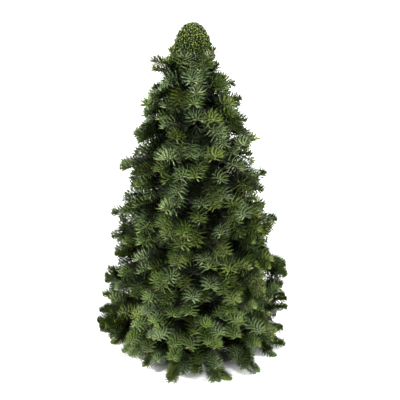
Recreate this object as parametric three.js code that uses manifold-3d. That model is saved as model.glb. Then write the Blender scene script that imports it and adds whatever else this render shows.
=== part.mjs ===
// A table-size Christmas tree of noble fir, cut and set on a plain wooden cross foot. A tapering
// trunk carries whorls of short boughs, and each bough ends in a mass of needle-clad sprays. The
// masses close up into a dense, round-topped cone that hangs to the floor.
// Millimetres, +Z up. The origin is the middle of the foot's flat underside.

import * as THREE from "three";
import { mergeVertices } from "three/addons/utils/BufferGeometryUtils.js";
import Module from "manifold-3d";

const wasm = await Module();
wasm.setup();

// Driving dimensions of the crown: its radius at each height, out to the tips of the sprays
const TREE_HEIGHT = 800;
const FLOOR_CLEARANCE = 3;
const CROWN_OUTLINE = [
  [0, 228],
  [100, 224],
  [200, 206],
  [300, 187],
  [400, 164],
  [500, 140],
  [600, 110],
  [700, 70],
  [740, 44],
  [780, 36],
  [TREE_HEIGHT, 8],
];

// How far a spray points above (+) or below (-) level at each height, in degrees
const SPRAY_ELEVATION = [
  [0, -60],
  [60, -42],
  [150, -25],
  [620, -18],
  [690, 5],
  [740, 45],
  [TREE_HEIGHT, 86],
];

// Whorls from the floor up: how many boughs, the height on the crown's face where each ends, its
// turn in steps of a bough, and how many sprays are tried in each of its masses
const TIERS = [
  { name: "skirt", boughs: 6, top: 150, turn: 0.5, sprays: 11 },
  { name: "low", boughs: 6, top: 285, turn: 0.2, sprays: 10 },
  { name: "middle", boughs: 5, top: 410, turn: 0.83, sprays: 10 },
  { name: "high", boughs: 4, top: 525, turn: 0.06, sprays: 10 },
  { name: "upper", boughs: 3, top: 630, turn: 0.29, sprays: 11 },
];
const TOP_SPRAYS = 30;
const TIER_DROOP = 0.38; // fall of the face between two tiers, in millimetres for each outward

// Trunk and boughs
const TRUNK_BUTT_RADIUS = 18;
const TRUNK_TIP_RADIUS = 5;
const TRUNK_TIP_HEIGHT = 668;
const TRUNK_WAVER = 2.5;
const TRUNK_SIDES = 12;
const BOUGH_ROOT_RADIUS = 5.2;
const BOUGH_TO_TRUNK = 0.45; // a bough is never thicker than this share of the trunk beside it
const BOUGH_TAPER = 0.65;
const BOUGH_SHARE = 0.36; // of the crown's radius, where a bough enters its mass
const BOUGH_RISE = 0.35; // how far a bough's root stands above its tip, as a share of the tier's fall
const BOUGH_SIDES = 6;
const BOUGH_STEPS = 3;
const SEAT_GAP = 0.3;

// Sprays of needles and the core that they stand out of
const SPRAY_LENGTH = 88;
const TOP_SPRAY_LENGTH = 66;
const NEEDLE_REACH = 25;
const NEEDLE_SWEEP = 19;
const SPRAY_BODY_RADIUS = 8;
const STEM_RADIUS = 3;
const TWIG_RADIUS = 2.4;
const SPRAY_TO_CROWN = 0.55; // a spray is never longer than this share of the crown's radius
const SPRAY_SPACING = 40; // least distance between two tips of a mass
const TOP_SPRAY_SPACING = 22;
const JOINT_LEAD = 12; // least lead of a spray's body over its joint on the stem
const CORE_SHARE = 0.68; // a core's outer face, as a share of the crown's radius
const CORE_MIDDLE = 0.56; // its middle, the same way
const NEEDLE_MARGIN = 1;
const CORE_MARGIN = 5;
const CORE_ROOF = 10; // least drop of a core below the space's upper face

// The cross foot: two half-lapped battens and four braces against the trunk's butt
const BATTEN_LENGTH = 250;
const BATTEN_WIDTH = 40;
const BATTEN_HEIGHT = 20;
const BRACE_LENGTH = 45;
const BRACE_HEIGHT = 42;
const BRACE_WIDTH = 18;

// Materials
const bark = new THREE.MeshStandardMaterial({ color: 0x54463a, roughness: 0.9, metalness: 0 });
const fir = new THREE.MeshStandardMaterial({ color: 0x3e5a30, roughness: 0.65, metalness: 0 });
const timber = new THREE.MeshStandardMaterial({ color: 0xb8946a, roughness: 0.7, metalness: 0 });

// A value between the knots of a [height, value] table, in straight steps
function between(knots, height) {
  const last = knots.length - 1;
  if (height <= knots[0][0]) return knots[0][1];
  if (height >= knots[last][0]) return knots[last][1];
  const k = knots.findIndex(([h]) => h > height);
  const [h0, v0] = knots[k - 1];
  const [h1, v1] = knots[k];
  return v0 + ((v1 - v0) * (height - h0)) / (h1 - h0);
}

const crownRadius = (height) => between(CROWN_OUTLINE, height);

// Seeded chance: the same number in 0 to 1 for the same mass, spray and purpose
function chance(mass, spray, purpose) {
  const wave = Math.sin(mass * 12.9898 + spray * 78.233 + purpose * 37.719) * 43758.5453;
  return wave - Math.floor(wave);
}

// Even scatter of points over a square from -1 to 1, by the plastic number's sequence
const PLASTIC = 1.32471795724;
function scatter(index) {
  const across = (0.5 + (index + 1) / PLASTIC) % 1;
  const upward = (0.5 + (index + 1) / PLASTIC ** 2) % 1;
  return [2 * across - 1, 2 * upward - 1];
}

// A point from its distance to the trunk's line, its turn round it and its height
function around(radius, turn, height) {
  return new THREE.Vector3(radius * Math.cos(turn), radius * Math.sin(turn), height);
}

// A three.js geometry as a solid, and back
function solidOf(geometry) {
  const bare = geometry.clone();
  bare.deleteAttribute("normal");
  bare.deleteAttribute("uv");
  const merged = mergeVertices(bare, 1e-3);
  return new wasm.Manifold(
    new wasm.Mesh({
      numProp: 3,
      vertProperties: new Float32Array(merged.attributes.position.array),
      triVerts: new Uint32Array(merged.index.array),
    }),
  );
}

function geometryOf(solid) {
  const mesh = solid.getMesh();
  const geometry = new THREE.BufferGeometry();
  const position = new Float32Array(mesh.vertProperties);
  geometry.setAttribute("position", new THREE.BufferAttribute(position, 3));
  geometry.setIndex(new THREE.BufferAttribute(new Uint32Array(mesh.triVerts), 1));
  geometry.computeVertexNormals();
  return geometry;
}

// The largest body of a solid: what a cut leaves loose is dropped, and a sealed hollow is filled
function largestBody(solid) {
  return solid.decompose().reduce((best, body) => (body.volume() > best.volume() ? body : best));
}

// Whether each edge of a solid borders just two faces, with its points rounded to a thousandth
function isSimple(solid) {
  const { vertProperties: at, triVerts } = solid.getMesh();
  const place = (v) => [0, 1, 2].map((k) => Math.round(at[3 * v + k] * 1e3)).join();
  const uses = new Map();
  for (let t = 0; t < triVerts.length; t += 3) {
    for (let k = 0; k < 3; k++) {
      const edge = [place(triVerts[t + k]), place(triVerts[t + ((k + 1) % 3)])].sort().join("|");
      uses.set(edge, (uses.get(edge) ?? 0) + 1);
    }
  }
  return [...uses.values()].every((n) => n === 2);
}

// The largest body without its slivers, as far as they can go with every edge left simple
const SLIVERS = [0.3, 0.2, 0.1, 0.05, 0.01];
function cleanBody(solid) {
  const body = largestBody(solid).asOriginal();
  for (const sliver of SLIVERS) {
    const cleaned = largestBody(body.simplify(sliver));
    if (isSimple(cleaned)) return cleaned;
  }
  return body;
}

// A closed skin over rings of points
function skin(rings) {
  const sides = rings[0].length;
  const points = rings.flat();
  const faces = [];
  for (let k = 1; k < sides - 1; k++) faces.push([0, k + 1, k]);
  for (let ring = 0; ring < rings.length - 1; ring++) {
    for (let k = 0; k < sides; k++) {
      const a = ring * sides + k;
      const b = ring * sides + ((k + 1) % sides);
      faces.push([a, b, b + sides], [a, b + sides, a + sides]);
    }
  }
  const start = (rings.length - 1) * sides;
  for (let k = 1; k < sides - 1; k++) faces.push([start, start + k, start + k + 1]);
  return meshOf(points, faces);
}

function meshOf(points, faces) {
  const geometry = new THREE.BufferGeometry();
  const position = new Float32Array(points.flatMap((p) => p.toArray()));
  geometry.setAttribute("position", new THREE.BufferAttribute(position, 3));
  geometry.setIndex(faces.flat());
  return geometry;
}

// A ring of points round a centre, square to a direction
function ringAt(centre, direction, radius, sides, roll = 0) {
  const aim = new THREE.Quaternion().setFromUnitVectors(new THREE.Vector3(0, 0, 1), direction);
  return Array.from({ length: sides }, (_, k) => {
    const angle = roll + (k * 2 * Math.PI) / sides;
    const offset = new THREE.Vector3(radius * Math.cos(angle), radius * Math.sin(angle), 0);
    return offset.applyQuaternion(aim).add(centre);
  });
}

// A round limb along a curve, tapering from its root to its tip
function limb(curve, rootRadius, tipRadius, sides, steps) {
  const rings = Array.from({ length: steps + 1 }, (_, k) => {
    const share = k / steps;
    const radius = THREE.MathUtils.lerp(rootRadius, tipRadius, share);
    return ringAt(curve.getPoint(share), curve.getTangent(share), radius, sides);
  });
  return skin(rings);
}

// Trunk: a straight taper with a slight waver, from a flat cut on the foot to its tip
const TRUNK_FOOT = BATTEN_HEIGHT + SEAT_GAP;
const TRUNK_RINGS = 7;

function trunkRadius(height) {
  const share = THREE.MathUtils.clamp((height - TRUNK_FOOT) / (TRUNK_TIP_HEIGHT - TRUNK_FOOT), 0, 1);
  return THREE.MathUtils.lerp(TRUNK_BUTT_RADIUS, TRUNK_TIP_RADIUS, share);
}

function trunkMiddle(height) {
  const share = (height - TRUNK_FOOT) / (TRUNK_TIP_HEIGHT - TRUNK_FOOT);
  const swing = Math.sin(share * Math.PI * 2) * Math.min(1, share * 4);
  return new THREE.Vector3(TRUNK_WAVER * swing, TRUNK_WAVER * 0.6 * swing, height);
}

function trunkGeometry(extra) {
  const upright = new THREE.Vector3(0, 0, 1);
  const rings = Array.from({ length: TRUNK_RINGS + 1 }, (_, k) => {
    const height = THREE.MathUtils.lerp(TRUNK_FOOT, TRUNK_TIP_HEIGHT, k / TRUNK_RINGS);
    const centre = trunkMiddle(height);
    if (k === 0) centre.z -= extra;
    if (k === TRUNK_RINGS) centre.z += extra;
    return ringAt(centre, upright, trunkRadius(height) + extra, TRUNK_SIDES, Math.PI / TRUNK_SIDES);
  });
  return skin(rings);
}

// The space of a mass: a sector of one tier, between two falling cones
function spaceOf(tierIndex, boughIndex) {
  const tier = TIERS[tierIndex];
  const floorOf = (height) => height + TIER_DROOP * crownRadius(height);
  return {
    turn: ((boughIndex + tier.turn) * 2 * Math.PI) / tier.boughs,
    halfAngle: Math.PI / tier.boughs,
    low: tierIndex === 0 ? -Infinity : floorOf(TIERS[tierIndex - 1].top),
    high: floorOf(tier.top),
    lowFace: tierIndex === 0 ? FLOOR_CLEARANCE : TIERS[tierIndex - 1].top,
    highFace: tier.top,
  };
}

const TOP_SPACE = {
  turn: 0,
  halfAngle: Math.PI,
  low: TIERS[TIERS.length - 1].top + TIER_DROOP * crownRadius(TIERS[TIERS.length - 1].top),
  high: Infinity,
  lowFace: TIERS[TIERS.length - 1].top,
  highFace: TREE_HEIGHT,
};

// Whether a point keeps to a space, clear of the trunk, the foot and the floor
function keepsTo(space, point, margin) {
  const radius = Math.hypot(point.x, point.y);
  const cone = point.z + TIER_DROOP * radius;
  if (cone < space.low + margin || cone > space.high - margin) return false;
  if (point.z < FLOOR_CLEARANCE) return false;
  if (point.z < TRUNK_TIP_HEIGHT + margin && radius < trunkRadius(point.z) + TRUNK_WAVER + margin) return false;
  if (point.z < BATTEN_HEIGHT + 2 * margin && radius < BATTEN_LENGTH / 2 + 2 * margin) return false;
  if (space.halfAngle >= Math.PI) return true;
  const turned = Math.atan2(point.y, point.x) - space.turn;
  const off = Math.abs(Math.atan2(Math.sin(turned), Math.cos(turned)));
  return off < space.halfAngle && radius * Math.sin(space.halfAngle - off) > margin;
}

// The bough of a space: it leaves the trunk near level, then falls to where it enters its mass
function boughCurve(space) {
  const reach = BOUGH_SHARE * crownRadius((space.lowFace + space.highFace) / 2);
  const lowCone = Math.max(space.low, BATTEN_HEIGHT + BRACE_HEIGHT);
  const entry = (lowCone + space.high) / 2 - TIER_DROOP * reach;
  const root = trunkMiddle(entry + BOUGH_RISE * TIER_DROOP * reach);
  const tip = around(reach, space.turn, entry);
  const bend = around(reach * 0.55, space.turn, root.z);
  return new THREE.QuadraticBezierCurve3(root, bend, tip);
}

// A spray: a three-sided twig from its joint on the stem to the spray's body, whose side faces are
// each drawn out into a needle. Stations along the spray are [share of length, share of radius].
const SPRAY_STATIONS = [
  [0.3, 0.7],
  [0.62, 1],
  [0.88, 0.75],
];
const SPRAY_SIDES = 3;
const STATION_TWIST = 0.5;
const SPRAY_LIFT_SPREAD = 16; // degrees
const SPRAY_AIM_SPREAD = 0.35; // radians
const SPRAY_REACH_SPREAD = 0.09;
const SPRAY_LENGTH_SPREAD = 0.24;

function sprayGeometry(joint, root, direction, length, roll, needleReach) {
  const start = root.clone().addScaledVector(direction, SPRAY_STATIONS[0][0] * length);
  const twigAim = start.sub(joint).normalize().add(direction).normalize();
  const rings = [
    ringAt(joint, twigAim, TWIG_RADIUS, SPRAY_SIDES, roll),
    ...SPRAY_STATIONS.map(([share, width], k) => {
      const centre = root.clone().addScaledVector(direction, share * length);
      return ringAt(centre, direction, width * SPRAY_BODY_RADIUS, SPRAY_SIDES, roll + k * STATION_TWIST);
    }),
  ];
  const points = rings.flat();
  const faces = [[0, 2, 1]];
  for (let band = 0; band < rings.length - 1; band++) {
    for (let k = 0; k < SPRAY_SIDES; k++) {
      const a = band * SPRAY_SIDES + k;
      const b = band * SPRAY_SIDES + ((k + 1) % SPRAY_SIDES);
      const corners = [a, b, b + SPRAY_SIDES, a + SPRAY_SIDES];
      if (band === 0) {
        faces.push([corners[0], corners[1], corners[2]], [corners[0], corners[2], corners[3]]);
        continue;
      }
      const face = corners.reduce((sum, c) => sum.add(points[c]), new THREE.Vector3()).divideScalar(4);
      const outward = face.clone().sub(root).projectOnPlane(direction).normalize();
      points.push(face.addScaledVector(outward, needleReach).addScaledVector(direction, NEEDLE_SWEEP));
      const needle = points.length - 1;
      corners.forEach((c, n) => faces.push([c, corners[(n + 1) % 4], needle]));
    }
  }
  points.push(root.clone().addScaledVector(direction, length));
  const last = (rings.length - 1) * SPRAY_SIDES;
  for (let k = 0; k < SPRAY_SIDES; k++) {
    faces.push([last + k, last + ((k + 1) % SPRAY_SIDES), points.length - 1]);
  }
  return { geometry: meshOf(points, faces), points };
}

// Where a spray of a mass stands: its tip on the crown's face and the way that it points
function sprayPlace(space, mass, index, insetAcross, insetUpward) {
  const [across, upward] = scatter(index);
  const height = THREE.MathUtils.lerp(space.lowFace, space.highFace, 0.5 + 0.5 * insetUpward * upward);
  const turn = space.turn + insetAcross * across * space.halfAngle;
  const lift = between(SPRAY_ELEVATION, height) + SPRAY_LIFT_SPREAD * (chance(mass, index, 2) - 0.5);
  const rise = THREE.MathUtils.degToRad(lift);
  const needlesBeyond = 0.8 * NEEDLE_REACH * Math.abs(Math.sin(rise)); // a steep twig's needles face outward
  const ragged = 1 + SPRAY_REACH_SPREAD * (chance(mass, index, 1) - 0.5);
  const reach = Math.max(0, ragged * crownRadius(height) - needlesBeyond);
  const aim = turn + SPRAY_AIM_SPREAD * (chance(mass, index, 3) - 0.5);
  const direction = new THREE.Vector3(
    Math.cos(aim) * Math.cos(rise),
    Math.sin(aim) * Math.cos(rise),
    Math.sin(rise),
  );
  return { tip: around(reach, turn, height), direction };
}

// The core of a mass: a rounded body, each of its points drawn in until it keeps to the space,
// inside the sprays' tips and outside the bough's
function coreSolid(space, centre, size, innerRadius) {
  const ball = mergeVertices(new THREE.IcosahedronGeometry(1, 1).deleteAttribute("normal").deleteAttribute("uv"));
  const frame = new THREE.Matrix4().makeRotationZ(space.turn);
  const position = ball.attributes.position;
  const allowed = (p) => {
    const radius = Math.hypot(p.x, p.y);
    const level = p.z > BATTEN_HEIGHT + 2 * CORE_MARGIN && p.z + TIER_DROOP * radius < space.high - CORE_ROOF;
    const wide = radius < CORE_SHARE * crownRadius(p.z) && radius > innerRadius;
    return level && wide && keepsTo(space, p, CORE_MARGIN);
  };
  for (let k = 0; k < position.count; k++) {
    const direction = new THREE.Vector3().fromBufferAttribute(position, k);
    const blunt = direction.toArray().reduce((sum, c) => sum + c ** 4, 0) ** -0.25; // nearer to a block
    const offset = direction.multiply(size).multiplyScalar(blunt).applyMatrix4(frame);
    const point = centre.clone().add(offset);
    while (offset.length() > 1 && !allowed(point)) {
      offset.multiplyScalar(0.96);
      point.copy(centre).add(offset);
    }
    position.setXYZ(k, point.x, point.y, point.z);
  }
  return solidOf(ball);
}

// The tries for each spray: inset across and upward, the least first, then its needles and its roll
const INSET_STEPS = [1, 0.93, 0.86, 0.79, 0.72, 0.65, 0.58, 0.5];
const INSETS = INSET_STEPS.flatMap((across) => INSET_STEPS.map((upward) => [across, upward]));
INSETS.sort((a, b) => b[0] + b[1] - a[0] - a[1]);
const NEEDLE_REACHES = [NEEDLE_REACH, 0.65 * NEEDLE_REACH];
const ROLLS = [0, 1 / 3, 2 / 3].map((share) => (share * 2 * Math.PI) / SPRAY_SIDES);
const TRIES = NEEDLE_REACHES.flatMap((needleReach) => ROLLS.map((roll) => ({ needleReach, roll })));

// A mass: its stem, the core round it, and a twig out to each spray that keeps to the space
function massSolid(space, mass, stem, core, limbs, count, length, spacing) {
  const stemTube = limb(stem, STEM_RADIUS, STEM_RADIUS * BOUGH_TAPER, BOUGH_SIDES, 1);
  const pieces = [solidOf(stemTube), core.subtract(limbs)];
  const tips = [];
  for (let index = 0; index < count; index++) {
    const fullLength = length * (1 + SPRAY_LENGTH_SPREAD * (chance(mass, index, 4) - 0.5));
    const free = (tip) => tips.every((other) => other.distanceTo(tip) >= spacing);
    const spray = fittingSpray(space, mass, index, stem, fullLength, limbs, free);
    if (!spray) continue;
    tips.push(spray.tip);
    pieces.push(spray.solid);
  }
  return cleanBody(wasm.Manifold.union(pieces));
}

// A spray at the first try that keeps to the space, free of the other tips and clear of the limbs
function fittingSpray(space, mass, index, stem, fullLength, limbs, free) {
  for (const [insetAcross, insetUpward] of INSETS) {
    const { tip, direction } = sprayPlace(space, mass, index, insetAcross, insetUpward);
    if (!free(tip)) continue;
    const longest = tip.z > TRUNK_TIP_HEIGHT ? fullLength : SPRAY_TO_CROWN * crownRadius(tip.z);
    const length = Math.min(fullLength, longest);
    const root = tip.clone().addScaledVector(direction, -length);
    const body = root.clone().addScaledVector(direction, SPRAY_STATIONS[0][0] * length);
    const joint = jointOf(stem, mass, index, body, direction);
    if (!joint) continue;
    for (const { needleReach, roll } of TRIES) {
      const rolled = roll + chance(mass, index, 6) * Math.PI;
      const { geometry, points } = sprayGeometry(joint, root, direction, length, rolled, needleReach);
      if (!points.slice(SPRAY_SIDES).every((p) => keepsTo(space, p, NEEDLE_MARGIN))) continue;
      const solid = solidOf(geometry);
      if (solid.intersect(limbs).isEmpty()) return { solid, tip };
    }
  }
  return null;
}

// Where a spray's twig leaves the stem: far enough behind the spray's body
const JOINT_SHARES = [0.35, 0.95]; // of the stem
const JOINT_STEPS = [1, 0.7, 0.4, 0.1];

function jointOf(stem, mass, index, body, direction) {
  const share = THREE.MathUtils.lerp(...JOINT_SHARES, chance(mass, index, 5));
  const points = JOINT_STEPS.map((step) => stem.getPoint(share * step));
  return points.find((point) => body.clone().sub(point).dot(direction) > JOINT_LEAD);
}

// Assembly
const tree = new THREE.Group();

function addPiece(name, geometry, material) {
  const mesh = new THREE.Mesh(geometry, material);
  mesh.name = name;
  tree.add(mesh);
  return mesh;
}

const trunkClearance = solidOf(trunkGeometry(SEAT_GAP));
addPiece("trunk", trunkGeometry(0), bark);

// A bough and the mass at its tip. A core's half sizes before its points are drawn in are shares of
// the crown's radius, the sector's width and the tier's height.
const CORE_SIZE = { depth: 0.4, width: 1.7, height: 0.9 };

function addBough(tierIndex, boughIndex, mass) {
  const tier = TIERS[tierIndex];
  const space = spaceOf(tierIndex, boughIndex);
  const curve = boughCurve(space);
  const radius = Math.min(BOUGH_ROOT_RADIUS, BOUGH_TO_TRUNK * trunkRadius(curve.v0.z));
  const bough = solidOf(limb(curve, radius, radius * BOUGH_TAPER, BOUGH_SIDES, BOUGH_STEPS));
  addPiece(`bough_${tier.name}_${boughIndex + 1}`, geometryOf(cleanBody(bough.subtract(trunkClearance))), bark);
  const wider = radius + 2 * SEAT_GAP;
  const boughClearance = solidOf(limb(curve, wider, wider * BOUGH_TAPER, BOUGH_SIDES, BOUGH_STEPS));

  const stemStart = curve.getPoint(1).addScaledVector(curve.getTangent(1), SEAT_GAP);
  const faceMiddle = (space.lowFace + space.highFace) / 2;
  const coreReach = CORE_MIDDLE * crownRadius(faceMiddle);
  const lowCone = Math.max(space.low, BATTEN_HEIGHT + TIER_DROOP * coreReach);
  const coreMiddle = around(coreReach, space.turn, (lowCone + space.high) / 2 - TIER_DROOP * coreReach);
  const coreSize = new THREE.Vector3(
    CORE_SIZE.depth * crownRadius(faceMiddle),
    CORE_SIZE.width * coreReach * Math.tan(space.halfAngle),
    CORE_SIZE.height * (space.high - lowCone),
  );
  const core = coreSolid(space, coreMiddle, coreSize, Math.hypot(stemStart.x, stemStart.y) + CORE_MARGIN);
  const stem = new THREE.LineCurve3(stemStart, coreMiddle);
  const limbs = trunkClearance.add(boughClearance);
  const solid = massSolid(space, mass, stem, core, limbs, tier.sprays, SPRAY_LENGTH, SPRAY_SPACING);
  addPiece(`foliage_${tier.name}_${boughIndex + 1}`, geometryOf(solid), fir);
}

let massCount = 0;
TIERS.forEach((tier, tierIndex) => {
  for (let boughIndex = 0; boughIndex < tier.boughs; boughIndex++) {
    addBough(tierIndex, boughIndex, massCount);
    massCount++;
  }
});

// The top mass grows on from the trunk's tip
const TOP_CORE_RISE = 44;
const TOP_CORE_SIZE = new THREE.Vector3(66, 66, 58);
const topStart = trunkMiddle(TRUNK_TIP_HEIGHT).add(new THREE.Vector3(0, 0, SEAT_GAP));
const topMiddle = new THREE.Vector3(0, 0, TRUNK_TIP_HEIGHT + TOP_CORE_RISE);
const topStem = new THREE.LineCurve3(topStart, topMiddle);
const topCore = coreSolid(TOP_SPACE, topMiddle, TOP_CORE_SIZE, -1);
const topSolid = massSolid(
  TOP_SPACE, massCount, topStem, topCore, trunkClearance, TOP_SPRAYS, TOP_SPRAY_LENGTH, TOP_SPRAY_SPACING,
);
addPiece("foliage_top", geometryOf(topSolid), fir);

// Cross foot: a batten's outline with its half-lap notch, run across its width
function battenGeometry(notchOnTop) {
  const half = BATTEN_LENGTH / 2;
  const notch = BATTEN_WIDTH / 2 + SEAT_GAP;
  const middle = BATTEN_HEIGHT / 2 + (notchOnTop ? -SEAT_GAP / 2 : SEAT_GAP / 2);
  const outline = notchOnTop
    ? [[-half, 0], [half, 0], [half, BATTEN_HEIGHT], [notch, BATTEN_HEIGHT], [notch, middle],
       [-notch, middle], [-notch, BATTEN_HEIGHT], [-half, BATTEN_HEIGHT]]
    : [[-half, 0], [-notch, 0], [-notch, middle], [notch, middle], [notch, 0], [half, 0],
       [half, BATTEN_HEIGHT], [-half, BATTEN_HEIGHT]];
  const shape = new THREE.Shape(outline.map(([x, y]) => new THREE.Vector2(x, y)));
  const batten = new THREE.ExtrudeGeometry(shape, { depth: BATTEN_WIDTH, bevelEnabled: false });
  return batten.translate(0, 0, -BATTEN_WIDTH / 2).rotateX(Math.PI / 2);
}

addPiece("stand_batten_lower", battenGeometry(true), timber);
addPiece("stand_batten_upper", battenGeometry(false), timber).rotation.z = Math.PI / 2;

// Braces: right-angled blocks on the battens, square against the flats of the trunk's butt
const braceFoot = TRUNK_BUTT_RADIUS * Math.cos(Math.PI / TRUNK_SIDES) + SEAT_GAP;
const braceShape = new THREE.Shape([
  new THREE.Vector2(braceFoot, 0),
  new THREE.Vector2(braceFoot + BRACE_LENGTH, 0),
  new THREE.Vector2(braceFoot + BRACE_LENGTH, BRACE_HEIGHT * 0.2),
  new THREE.Vector2(braceFoot + BRACE_LENGTH * 0.22, BRACE_HEIGHT),
  new THREE.Vector2(braceFoot, BRACE_HEIGHT),
]);
for (let k = 0; k < 4; k++) {
  const brace = new THREE.ExtrudeGeometry(braceShape, { depth: BRACE_WIDTH, bevelEnabled: false });
  brace.translate(0, 0, -BRACE_WIDTH / 2).rotateX(Math.PI / 2);
  const piece = addPiece(`stand_brace_${k + 1}`, brace, timber);
  piece.position.z = BATTEN_HEIGHT + SEAT_GAP;
  piece.rotation.z = (k * Math.PI) / 2;
}

export default tree;
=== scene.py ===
# A table-size Christmas tree of noble fir on a plain wooden cross foot, dressed round its packed
# frame. Metres, +Z up. The photographed side faces -Y.
import math

import bpy
import numpy as np
from mathutils import Matrix, Vector


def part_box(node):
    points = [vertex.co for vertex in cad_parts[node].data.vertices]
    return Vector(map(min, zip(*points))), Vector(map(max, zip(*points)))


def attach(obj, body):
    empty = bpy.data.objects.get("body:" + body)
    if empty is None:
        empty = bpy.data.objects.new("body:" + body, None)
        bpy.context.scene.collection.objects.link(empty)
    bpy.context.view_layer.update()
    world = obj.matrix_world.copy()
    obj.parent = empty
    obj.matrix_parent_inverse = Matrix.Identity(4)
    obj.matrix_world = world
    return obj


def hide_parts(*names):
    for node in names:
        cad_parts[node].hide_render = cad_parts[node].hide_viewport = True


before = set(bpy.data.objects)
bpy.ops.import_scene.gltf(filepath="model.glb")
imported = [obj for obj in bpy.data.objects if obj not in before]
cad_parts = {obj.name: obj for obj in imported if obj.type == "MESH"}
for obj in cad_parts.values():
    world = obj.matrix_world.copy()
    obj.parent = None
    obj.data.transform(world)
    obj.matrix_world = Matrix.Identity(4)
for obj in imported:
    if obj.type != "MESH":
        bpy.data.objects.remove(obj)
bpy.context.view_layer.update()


# Cross foot
# Two half-lapped battens of planed softwood with four braces round the butt, screwed together and
# left unpainted. The solids keep their own shape and take a grained timber finish.
TIMBER_PALE = "c9a97b"
TIMBER_DARK = "96703f"
TIMBER_GRAIN = (6.0, 160.0, 110.0)  # how fine the grain is along a piece, across it and upright
DRY_GLOSS = 0.3  # the specular level of timber, bark and needles alike
TIMBER_PIECES = ["stand_batten_lower", "stand_batten_upper"] + [f"stand_brace_{k}" for k in (1, 2, 3, 4)]


def paint(hex_colour):
    """A colour as the eye sees it, from six hex digits to linear red, green, blue and alpha."""
    shares = [int(hex_colour[k:k + 2], 16) / 255 for k in (0, 2, 4)]
    linear = [c / 12.92 if c <= 0.04045 else ((c + 0.055) / 1.055) ** 2.4 for c in shares]
    return (*linear, 1.0)


def group_of(name, inputs, outputs):
    """An empty shader node group with the named sockets, and its input and output nodes."""
    tree = bpy.data.node_groups.new(name, "ShaderNodeTree")
    for label, kind, value in inputs:
        socket = tree.interface.new_socket(name=label, in_out="INPUT", socket_type=kind)
        if value is not None:
            socket.default_value = value
    for label, kind in outputs:
        tree.interface.new_socket(name=label, in_out="OUTPUT", socket_type=kind)
    return tree, tree.nodes.new("NodeGroupInput"), tree.nodes.new("NodeGroupOutput")


def mottle_group():
    """Two colours mixed by a mask, and the mask itself. The mask is a soft noise on stretched Object
    coordinates: it goes from nought to one while the noise crosses a span about one half, as wide as
    the contrast."""
    tree, source, result = group_of(
        "mottle",
        [("Scale", "NodeSocketFloat", 40.0), ("Contrast", "NodeSocketFloat", 0.35),
         ("Stretch", "NodeSocketVector", (1.0, 1.0, 1.0)),
         ("Pale", "NodeSocketColor", (0.5, 0.5, 0.5, 1)), ("Dark", "NodeSocketColor", (0.1, 0.1, 0.1, 1))],
        [("Color", "NodeSocketColor"), ("Mask", "NodeSocketFloat")],
    )
    nodes, link = tree.nodes, tree.links.new
    place = nodes.new("ShaderNodeTexCoord")
    stretched = nodes.new("ShaderNodeVectorMath")
    stretched.operation = "MULTIPLY"
    link(place.outputs["Object"], stretched.inputs[0])
    link(source.outputs["Stretch"], stretched.inputs[1])
    noise = nodes.new("ShaderNodeTexNoise")
    noise.inputs["Detail"].default_value = 3
    link(stretched.outputs[0], noise.inputs["Vector"])
    link(source.outputs["Scale"], noise.inputs["Scale"])
    low = nodes.new("ShaderNodeMath")
    low.operation = "MULTIPLY_ADD"
    low.inputs[1].default_value = -0.5
    low.inputs[2].default_value = 0.5
    link(source.outputs["Contrast"], low.inputs[0])
    high = nodes.new("ShaderNodeMath")
    high.operation = "MULTIPLY_ADD"
    high.inputs[1].default_value = 0.5
    high.inputs[2].default_value = 0.5
    link(source.outputs["Contrast"], high.inputs[0])
    ramp = nodes.new("ShaderNodeMapRange")
    link(noise.outputs["Fac"], ramp.inputs["Value"])
    link(low.outputs[0], ramp.inputs["From Min"])
    link(high.outputs[0], ramp.inputs["From Max"])
    mix = nodes.new("ShaderNodeMix")
    mix.data_type = "RGBA"
    link(ramp.outputs["Result"], mix.inputs["Factor"])
    link(source.outputs["Dark"], mix.inputs["A"])
    link(source.outputs["Pale"], mix.inputs["B"])
    link(mix.outputs["Result"], result.inputs["Color"])
    link(ramp.outputs["Result"], result.inputs["Mask"])
    return tree


MOTTLE = mottle_group()


def mottled_material(name, pale, dark, scale, contrast, roughness, stretch=(1, 1, 1), bump=0.0, depth=0.0):
    """A Principled material whose colour is the mottle of two colours, with a bump from its mask."""
    material = bpy.data.materials.new(name)
    material.use_nodes = True
    nodes, link = material.node_tree.nodes, material.node_tree.links.new
    shader = nodes["Principled BSDF"]
    shader.inputs["Specular IOR Level"].default_value = DRY_GLOSS
    mottle = nodes.new("ShaderNodeGroup")
    mottle.node_tree = MOTTLE
    mottle.inputs["Pale"].default_value = paint(pale)
    mottle.inputs["Dark"].default_value = paint(dark)
    mottle.inputs["Scale"].default_value = scale
    mottle.inputs["Contrast"].default_value = contrast
    mottle.inputs["Stretch"].default_value = stretch
    link(mottle.outputs["Color"], shader.inputs["Base Color"])
    rough = nodes.new("ShaderNodeMapRange")
    rough.inputs["To Min"].default_value = roughness[0]
    rough.inputs["To Max"].default_value = roughness[1]
    link(mottle.outputs["Mask"], rough.inputs["Value"])
    link(rough.outputs["Result"], shader.inputs["Roughness"])
    if bump:
        relief = nodes.new("ShaderNodeBump")
        relief.inputs["Strength"].default_value = bump
        relief.inputs["Distance"].default_value = depth
        link(mottle.outputs["Mask"], relief.inputs["Height"])
        link(relief.outputs["Normal"], shader.inputs["Normal"])
    return material


def timber_material(name, stretch):
    """Planed softwood: a mottle drawn out along the grain, which also stands up a little."""
    return mottled_material(name, TIMBER_PALE, TIMBER_DARK, scale=1.0, contrast=0.5, roughness=(0.5, 0.7),
                            stretch=stretch, bump=0.25, depth=0.0006)


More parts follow.
